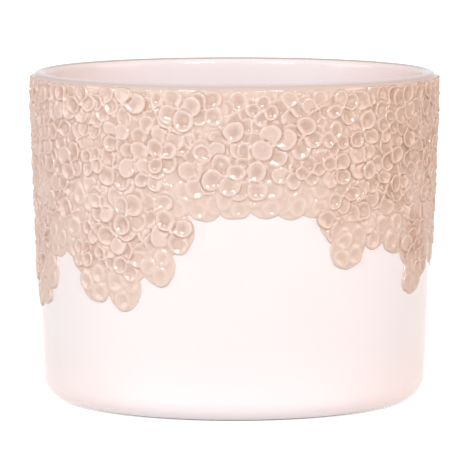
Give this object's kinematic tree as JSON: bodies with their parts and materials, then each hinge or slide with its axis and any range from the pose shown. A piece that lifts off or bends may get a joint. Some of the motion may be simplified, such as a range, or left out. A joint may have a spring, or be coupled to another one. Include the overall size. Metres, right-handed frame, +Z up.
{
  "type": "cachepot",
  "caption": "Round glazed cover pot with a relief of beige florets around its upper wall, which stands on a bare foot ring and hides a nursery pot.",
  "frame": {"origin": "middle of the foot, on the surface the pot stands on", "axes": "+Z up along the pot's axis; the front faces -Y, +X is to its right"},
  "size_m": [0.1498, 0.1498, 0.12],
  "materials": {
    "white_glaze": "smooth gloss",
    "beige_glaze": "gloss, pale where it thins on the petal rims",
    "bare_clay": "dry matte"
  },
  "bodies": {
    "root": {"pot_body": "white_glaze", "foot_ring": "bare_clay", "collar": "beige_glaze", "floret_spray_1": "beige_glaze", "floret_spray_2": "beige_glaze", "floret_spray_3": "beige_glaze", "floret_spray_4": "beige_glaze", "floret_spray_5": "beige_glaze", "floret_spray_6": "beige_glaze", "floret_spray_7": "beige_glaze", "floret_spray_8": "beige_glaze", "floret_spray_9": "beige_glaze", "hanging_cluster_1": "beige_glaze", "hanging_cluster_2": "beige_glaze", "hanging_cluster_3": "beige_glaze", "hanging_cluster_4": "beige_glaze", "hanging_cluster_5": "beige_glaze", "hanging_cluster_6": "beige_glaze", "hanging_cluster_7": "beige_glaze", "hanging_cluster_8": "beige_glaze", "hanging_cluster_9": "beige_glaze"}
  },
  "joints": []
}
